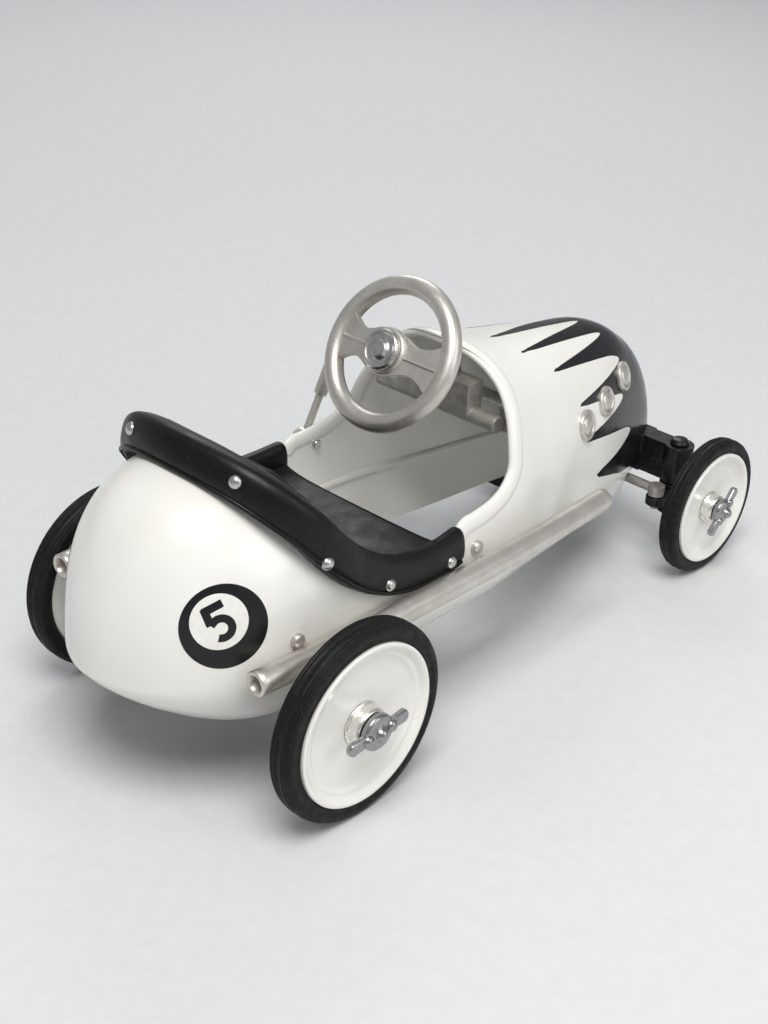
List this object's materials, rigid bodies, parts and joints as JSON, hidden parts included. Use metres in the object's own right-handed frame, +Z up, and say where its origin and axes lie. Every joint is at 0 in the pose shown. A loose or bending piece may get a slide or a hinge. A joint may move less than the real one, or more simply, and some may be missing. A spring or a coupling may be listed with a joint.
{
  "type": "miniature pedal car",
  "caption": "Die-cast collectible pedal racer: boat-tailed open body, padded black seat, side exhaust pipes, linked steering, rolling wheels and an outside brake lever.",
  "frame": {"origin": "on the floor under the middle of the car's bounding box", "axes": "+Z up, -Y towards the nose, +X towards the car's left side"},
  "size_m": [0.0754, 0.1537, 0.0727],
  "materials": {
    "white_enamel": "gloss",
    "black_enamel": "gloss",
    "seat_black": "satin",
    "tyre_rubber": "satin",
    "silver_paint": "satin metallic",
    "bright_metal": "polished",
    "grey_metal": "satin",
    "plain_steel": "satin"
  },
  "bodies": {
    "chassis": {"body_shell": "white_enamel", "seat": "seat_black", "seat_rivet_front_left": "bright_metal", "seat_rivet_front_right": "bright_metal", "seat_rivet_side_left": "bright_metal", "seat_rivet_side_right": "bright_metal", "seat_rivet_corner_left": "bright_metal", "seat_rivet_corner_right": "bright_metal", "seat_rivet_back_left": "bright_metal", "seat_rivet_back_right": "bright_metal", "porthole_rear_left": "silver_paint", "porthole_rear_right": "silver_paint", "porthole_middle_left": "silver_paint", "porthole_middle_right": "silver_paint", "porthole_front_left": "silver_paint", "porthole_front_right": "silver_paint", "exhaust_bolt_rear_left": "silver_paint", "exhaust_bolt_rear_right": "silver_paint", "exhaust_bolt_front_left": "silver_paint", "exhaust_bolt_front_right": "silver_paint", "exhaust_pipe_left": "silver_paint", "exhaust_pipe_right": "silver_paint", "rear_axle_bush_left": "grey_metal", "kingpin_left": "black_enamel", "rear_axle_bush_right": "grey_metal", "kingpin_right": "black_enamel", "front_axle_beam": "black_enamel", "brake_pivot_bolt": "bright_metal", "dash_bracket": "grey_metal", "column_support_plate": "grey_metal"},
    "rear_wheels": {"rear_axle": "plain_steel", "rear_left_tyre": "tyre_rubber", "rear_left_wheel_disc": "white_enamel", "rear_left_wheel_hub": "bright_metal", "rear_left_wheel_spinner": "bright_metal", "rear_right_tyre": "tyre_rubber", "rear_right_wheel_disc": "white_enamel", "rear_right_wheel_hub": "bright_metal", "rear_right_wheel_spinner": "bright_metal"},
    "steering": {"steering_wheel": "silver_paint", "steering_hub_cap": "bright_metal", "steering_column": "plain_steel"},
    "knuckle_left": {"steering_knuckle_left": "black_enamel"},
    "knuckle_right": {"steering_knuckle_right": "black_enamel"},
    "front_wheel_left": {"front_left_tyre": "tyre_rubber", "front_left_wheel_disc": "white_enamel", "front_left_wheel_hub": "bright_metal", "front_left_wheel_spinner": "bright_metal"},
    "front_wheel_right": {"front_right_tyre": "tyre_rubber", "front_right_wheel_disc": "white_enamel", "front_right_wheel_hub": "bright_metal", "front_right_wheel_spinner": "bright_metal"},
    "tie_rod_body": {"tie_rod": "grey_metal"},
    "brake": {"brake_lever": "silver_paint", "brake_grip": "silver_paint"}
  },
  "joints": [
    {"name": "rear_axle_spin", "type": "hinge", "parent": "chassis", "child": "rear_wheels", "pos_m": [0, 0.0475, 0.0178], "axis": [1, 0, 0], "continuous": true},
    {"name": "steer", "type": "hinge", "parent": "chassis", "child": "steering", "pos_m": [0, 0.009, 0.0603], "axis": [0, 0.8616, 0.5075], "range_deg": [-25, 25]},
    {"name": "knuckle_left_turn", "type": "hinge", "parent": "chassis", "child": "knuckle_left", "pos_m": [0.0165, -0.0625, 0.0144], "axis": [0, 0, 1], "range_deg": [-21.5, 21.5]},
    {"name": "knuckle_right_turn", "type": "hinge", "parent": "chassis", "child": "knuckle_right", "pos_m": [-0.0165, -0.0625, 0.0144], "axis": [0, 0, 1], "range_deg": [-21.5, 21.5]},
    {"name": "tie_rod_swing", "type": "hinge", "parent": "knuckle_left", "child": "tie_rod_body", "pos_m": [0.0165, -0.056, 0.017], "axis": [0, 0, 1], "range_deg": [-21.5, 21.5]},
    {"name": "front_wheel_left_spin", "type": "hinge", "parent": "knuckle_left", "child": "front_wheel_left", "pos_m": [0.0165, -0.0625, 0.0144], "axis": [1, 0, 0], "continuous": true},
    {"name": "front_wheel_right_spin", "type": "hinge", "parent": "knuckle_right", "child": "front_wheel_right", "pos_m": [-0.0165, -0.0625, 0.0144], "axis": [1, 0, 0], "continuous": true},
    {"name": "brake_lever_pull", "type": "hinge", "parent": "chassis", "child": "brake", "pos_m": [0.0237, 0.0064, 0.0344], "axis": [1, 0, 0], "range_deg": [-20, 0]}
  ],
  "couplings": [
    {"joint": "knuckle_left_turn", "follows": "steer", "ratio": 0.85},
    {"joint": "knuckle_right_turn", "follows": "steer", "ratio": 0.85},
    {"joint": "tie_rod_swing", "follows": "steer", "ratio": -0.85}
  ]
}
